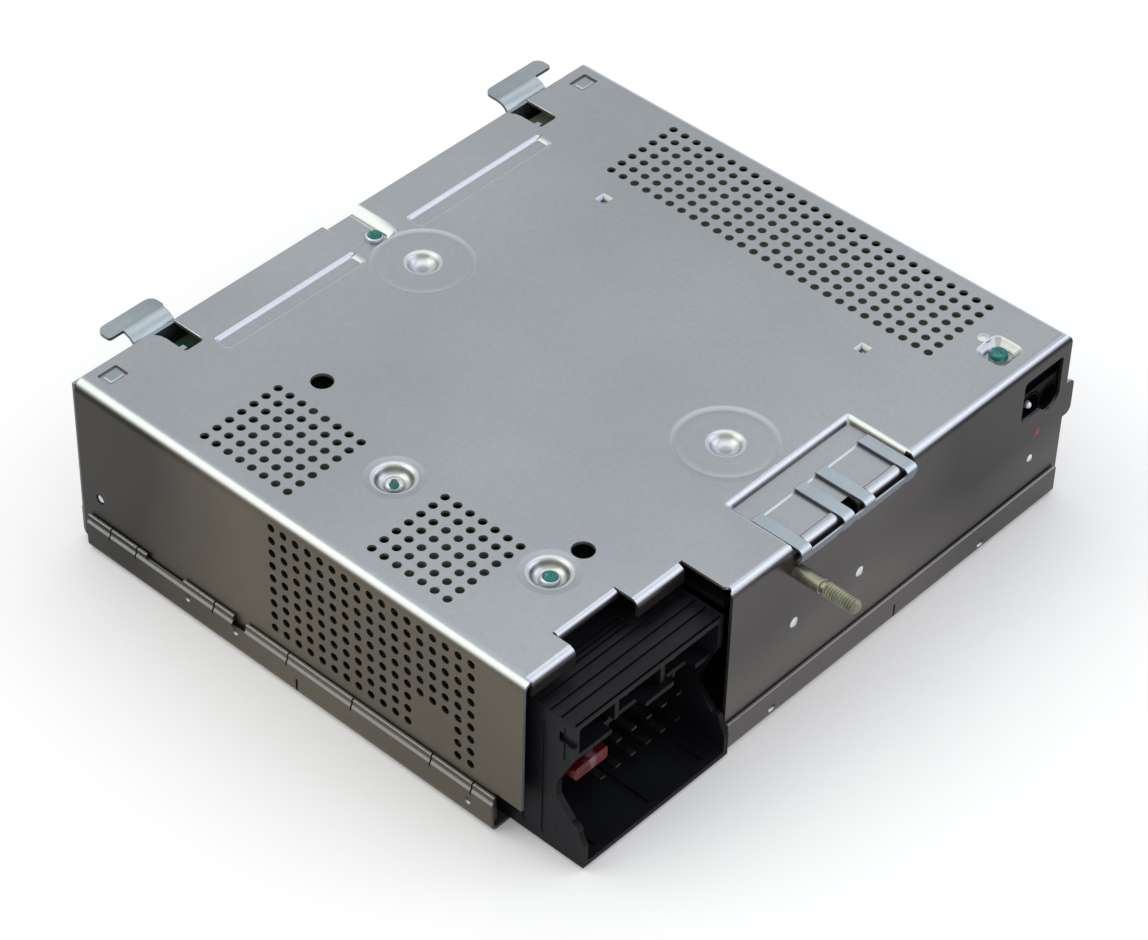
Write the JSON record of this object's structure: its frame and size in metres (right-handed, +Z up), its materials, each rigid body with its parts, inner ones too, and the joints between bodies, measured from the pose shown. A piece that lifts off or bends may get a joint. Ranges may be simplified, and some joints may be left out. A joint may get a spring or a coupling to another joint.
{
  "type": "car radio tuner box",
  "caption": "Hidden single-DIN car radio tuner: vented folded steel box with hook tabs, plug header, blade fuse, twin aerial socket, earth stud and spring clip.",
  "frame": {"origin": "middle of the box's underside, on the tray's flat floor", "axes": "+Z up, -Y towards the plug header and aerial sockets, +Y towards the two hooks, +X to the aerial socket's side"},
  "size_m": [0.1869, 0.1897, 0.052],
  "materials": {
    "plated_steel": "satin tin plating",
    "tray_steel": "satin tin plating, slightly duller",
    "blue_zinc": "bluish zinc plating",
    "yellow_zinc": "yellow zinc plating",
    "black_plastic": "moulded black",
    "tinned_contact": "tin plating",
    "red_fuse_plastic": "clear red moulding",
    "green_sealed_screw": "green sealing paint",
    "board_green": "green solder resist",
    "post_brass": "turned",
    "sink_aluminium": "as extruded",
    "chip_black": "moulded",
    "capacitor_sleeve": "printed sleeve left blank"
  },
  "bodies": {
    "tuner_box": {"top_cover": "plated_steel", "bottom_tray": "tray_steel", "front_frame": "blue_zinc", "main_board": "board_green", "connector_housing": "black_plastic", "power_contact_block": "black_plastic", "signal_contact_block": "black_plastic", "aerial_socket": "black_plastic", "aerial_pin_left": "tinned_contact", "aerial_pin_right": "tinned_contact", "earth_stud": "yellow_zinc", "cover_screw_left_front": "green_sealed_screw", "cover_screw_left_rear": "green_sealed_screw", "cover_screw_front": "green_sealed_screw", "cover_screw_rear": "green_sealed_screw", "post_left_front": "post_brass", "post_left_rear": "post_brass", "post_front": "post_brass", "spacer_left_front": "post_brass", "spacer_left_rear": "post_brass", "spacer_front": "post_brass", "heat_sink": "sink_aluminium", "amplifier_chip": "chip_black", "amplifier_clamp": "blue_zinc", "clamp_screw": "blue_zinc", "tuner_can": "tinned_contact", "tuner_can_lid": "tinned_contact", "processor_chip": "chip_black", "sound_chip": "chip_black", "memory_chip": "chip_black", "tuner_chip": "chip_black", "power_choke": "chip_black", "crystal_can": "tinned_contact", "voltage_regulator": "chip_black", "capacitor_supply": "capacitor_sleeve", "capacitor_left": "capacitor_sleeve", "capacitor_middle": "capacitor_sleeve", "capacitor_right": "capacitor_sleeve"},
    "fuse": {"fuse_body": "red_fuse_plastic", "fuse_blades": "tinned_contact"},
    "spring_clip": {"spring_clip": "blue_zinc"}
  },
  "joints": [
    {"name": "fuse_pull", "type": "slide", "parent": "tuner_box", "child": "fuse", "axis": [0, -1, 0], "range_m": [0, 0.02]},
    {"name": "clip_slide", "type": "slide", "parent": "tuner_box", "child": "spring_clip", "axis": [0, -1, 0], "range_m": [0, 0.016]}
  ]
}
